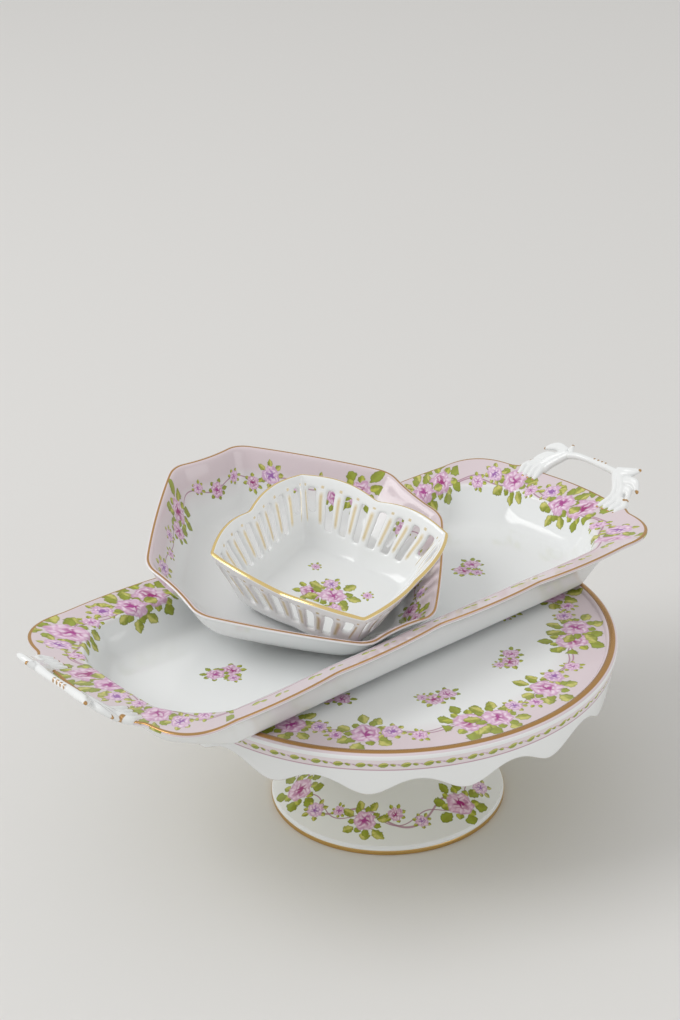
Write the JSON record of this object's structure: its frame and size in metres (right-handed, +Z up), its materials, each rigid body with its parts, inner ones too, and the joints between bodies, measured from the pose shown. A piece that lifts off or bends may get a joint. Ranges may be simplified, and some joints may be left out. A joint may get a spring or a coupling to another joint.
{
  "type": "tiered cake stand",
  "caption": "Tiered porcelain server: footed cake stand with a scalloped skirt, a long handled tray on it, a tilted cut-corner dish and a pierced basket, all loose.",
  "frame": {"origin": "middle of the foot's underside, on the surface the stand rests on", "axes": "+Z up, +X along the tray, -Y towards the side that the dish tips down to"},
  "size_m": [0.4944, 0.32, 0.2211],
  "materials": {
    "white_porcelain": "clear glossy glaze on hard-paste porcelain",
    "pink_ground_porcelain": "clear glossy glaze on hard-paste porcelain with a dusty pink ground and painted rose garlands",
    "gilding": "burnished brown gold on glaze"
  },
  "bodies": {
    "stand": {"cake_plate": "pink_ground_porcelain", "scalloped_skirt": "white_porcelain", "pedestal_foot": "white_porcelain"},
    "tray": {"tray_body": "pink_ground_porcelain", "tray_handle_left": "white_porcelain", "tray_handle_right": "white_porcelain"},
    "dish": {"octagonal_dish": "pink_ground_porcelain"},
    "basket": {"pierced_basket": "white_porcelain"}
  },
  "joints": [
    {"name": "tray_lift", "type": "slide", "parent": "stand", "child": "tray", "axis": [0, 0, 1], "range_m": [0, 0.1]},
    {"name": "dish_lift", "type": "slide", "parent": "tray", "child": "dish", "axis": [0, 0, 1], "range_m": [0, 0.12]},
    {"name": "basket_lift", "type": "slide", "parent": "dish", "child": "basket", "axis": [0, 0, 1], "range_m": [0, 0.12]}
  ]
}
